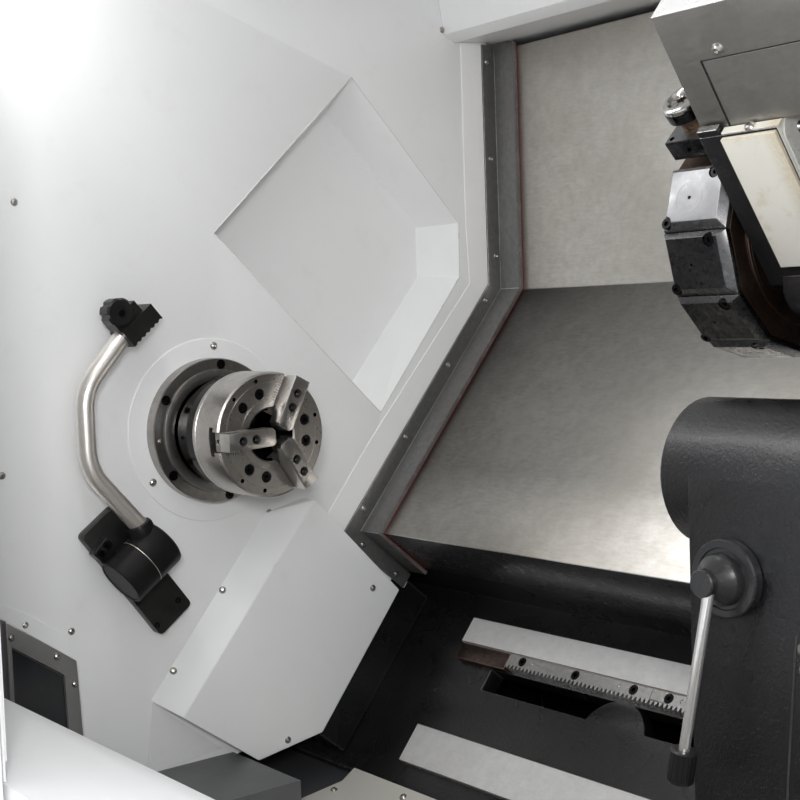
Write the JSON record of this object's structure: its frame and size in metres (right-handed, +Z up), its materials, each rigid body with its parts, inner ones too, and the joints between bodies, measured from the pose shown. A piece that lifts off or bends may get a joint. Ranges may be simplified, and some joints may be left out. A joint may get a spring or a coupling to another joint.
{
  "type": "cnc turning lathe",
  "caption": "Slant-bed turning centre with three-jaw chuck, twelve-station turret, tailstock, swinging tool presetter and sliding door",
  "frame": {"origin": "centre of the bounding box at floor level", "axes": "+X along the spindle from the headstock to the tailstock, +Y to the back of the machine, +Z up"},
  "size_m": [2.93, 1.732, 1.95],
  "materials": {
    "white_sheet": "satin powder coat",
    "cream_sheet": "satin paint",
    "black_casting": "rough gloss black paint",
    "dark_metal": "dark satin",
    "grey_sheet": "satin paint",
    "ground_steel": "ground",
    "stainless_sheet": "brushed",
    "red_rubber": "matte",
    "clear_glass": "clear laminated",
    "screen_glass": "glossy",
    "red_plastic": "satin",
    "green_plastic": "satin",
    "black_plastic": "moulded"
  },
  "bodies": {
    "machine": {"bearing_cap": "ground_steel", "bed_casting": "black_casting", "canopy": "white_sheet", "chip_chute": "grey_sheet", "control_panel": "grey_sheet", "door_header": "white_sheet", "front_sill": "white_sheet", "gear_rack": "ground_steel", "guide_lower": "ground_steel", "guide_upper": "ground_steel", "headstock_casting": "dark_metal", "headstock_wall": "white_sheet", "keypad": "black_plastic", "left_cabinet": "white_sheet", "left_return": "white_sheet", "machine_base": "dark_metal", "presetter_base": "black_casting", "rack_stop": "dark_metal", "right_cabinet": "white_sheet", "roof_back_panel": "white_sheet", "screen": "screen_glass", "spindle_disc": "white_sheet", "tail_wall": "white_sheet", "wall_lower_cover": "white_sheet", "way_frame": "dark_metal", "way_lower": "ground_steel", "way_upper": "ground_steel", "way_wiper": "red_rubber", "work_lamp": "dark_metal"},
    "spindle": {"spindle_shaft": "dark_metal", "chuck_body": "ground_steel"},
    "jaw_1": {"master_jaw_1": "ground_steel", "top_jaw_1": "ground_steel"},
    "jaw_2": {"master_jaw_2": "ground_steel", "top_jaw_2": "ground_steel"},
    "jaw_3": {"master_jaw_3": "ground_steel", "top_jaw_3": "ground_steel"},
    "carriage": {"saddle": "black_casting", "way_cover": "stainless_sheet"},
    "cross_slide_body": {"cross_slide": "black_casting", "turret_housing": "black_casting", "turret_cover": "cream_sheet", "slide_box": "stainless_sheet"},
    "turret": {"turret_disc": "black_casting", "collet_holder": "black_casting", "collet_nut": "ground_steel"},
    "tailstock": {"tailstock_body": "black_casting"},
    "quill_body": {"quill": "ground_steel"},
    "clamp_lever_body": {"clamp_lever": "black_casting"},
    "presetter": {"presetter_arm": "dark_metal", "presetter_head": "black_plastic"},
    "door": {"door_panel": "white_sheet", "door_window": "clear_glass", "door_handle": "dark_metal"},
    "estop": {"estop_button": "red_plastic"},
    "start": {"start_button": "green_plastic"},
    "stop": {"stop_button": "red_plastic"},
    "handwheel_body": {"handwheel": "black_plastic"},
    "drawer": {"chip_tray": "grey_sheet"},
    "cabinet_leaf": {"cabinet_door": "white_sheet"}
  },
  "joints": [
    {"name": "spindle_turn", "type": "hinge", "parent": "machine", "child": "spindle", "pos_m": [-0.685, -0.094, 1.05], "axis": [1, 0, 0], "continuous": true},
    {"name": "jaw_1_slide", "type": "slide", "parent": "spindle", "child": "jaw_1", "axis": [0, -0.9986, -0.0523], "range_m": [-0.004, 0.003]},
    {"name": "jaw_2_slide", "type": "slide", "parent": "spindle", "child": "jaw_2", "axis": [0, 0.454, 0.891], "range_m": [-0.004, 0.003]},
    {"name": "jaw_3_slide", "type": "slide", "parent": "spindle", "child": "jaw_3", "axis": [0, 0.5446, -0.8387], "range_m": [-0.004, 0.003]},
    {"name": "carriage_slide", "type": "slide", "parent": "machine", "child": "carriage", "axis": [1, 0, 0], "range_m": [-0.64, 0.02]},
    {"name": "cross_slide_travel", "type": "slide", "parent": "carriage", "child": "cross_slide_body", "axis": [0, 0.6428, 0.766], "range_m": [-0.085, 0.06]},
    {"name": "turret_index", "type": "hinge", "parent": "cross_slide_body", "child": "turret", "pos_m": [0.395, 0.14126, 1.33037], "axis": [1, 0, 0], "continuous": true},
    {"name": "tailstock_slide", "type": "slide", "parent": "machine", "child": "tailstock", "axis": [1, 0, 0], "range_m": [-0.55, 0.2]},
    {"name": "quill_slide", "type": "slide", "parent": "tailstock", "child": "quill_body", "axis": [1, 0, 0], "range_m": [-0.1, 0]},
    {"name": "clamp_lever_turn", "type": "hinge", "parent": "tailstock", "child": "clamp_lever_body", "pos_m": [0.515, -0.179, 0.95], "axis": [0, 1, 0], "range_deg": [-45, 45]},
    {"name": "presetter_swing", "type": "hinge", "parent": "machine", "child": "presetter", "pos_m": [-0.627, -0.27, 0.845], "axis": [0, 0.8039, 0.5948], "range_deg": [0, 90]},
    {"name": "door_slide", "type": "slide", "parent": "machine", "child": "door", "axis": [1, 0, 0], "range_m": [0, 1.035]},
    {"name": "estop_press", "type": "slide", "parent": "machine", "child": "estop", "axis": [0, 1, 0], "range_m": [0, 0.004], "stiffness_N_per_m": 600},
    {"name": "start_press", "type": "slide", "parent": "machine", "child": "start", "axis": [0, 1, 0], "range_m": [0, 0.004], "stiffness_N_per_m": 600},
    {"name": "stop_press", "type": "slide", "parent": "machine", "child": "stop", "axis": [0, 1, 0], "range_m": [0, 0.004], "stiffness_N_per_m": 600},
    {"name": "handwheel_turn", "type": "hinge", "parent": "machine", "child": "handwheel_body", "pos_m": [1.335, -0.826, 1.2], "axis": [0, 1, 0], "continuous": true},
    {"name": "drawer_slide", "type": "slide", "parent": "machine", "child": "drawer", "axis": [0, -1, 0], "range_m": [0, 0.6]},
    {"name": "cabinet_door_hinge", "type": "hinge", "parent": "machine", "child": "cabinet_leaf", "pos_m": [1.445, 0.582, 1.09], "axis": [0, 0, 1], "range_deg": [0, 110]}
  ],
  "couplings": [
    {"joint": "jaw_2_slide", "follows": "jaw_1_slide", "ratio": 1},
    {"joint": "jaw_3_slide", "follows": "jaw_1_slide", "ratio": 1}
  ]
}
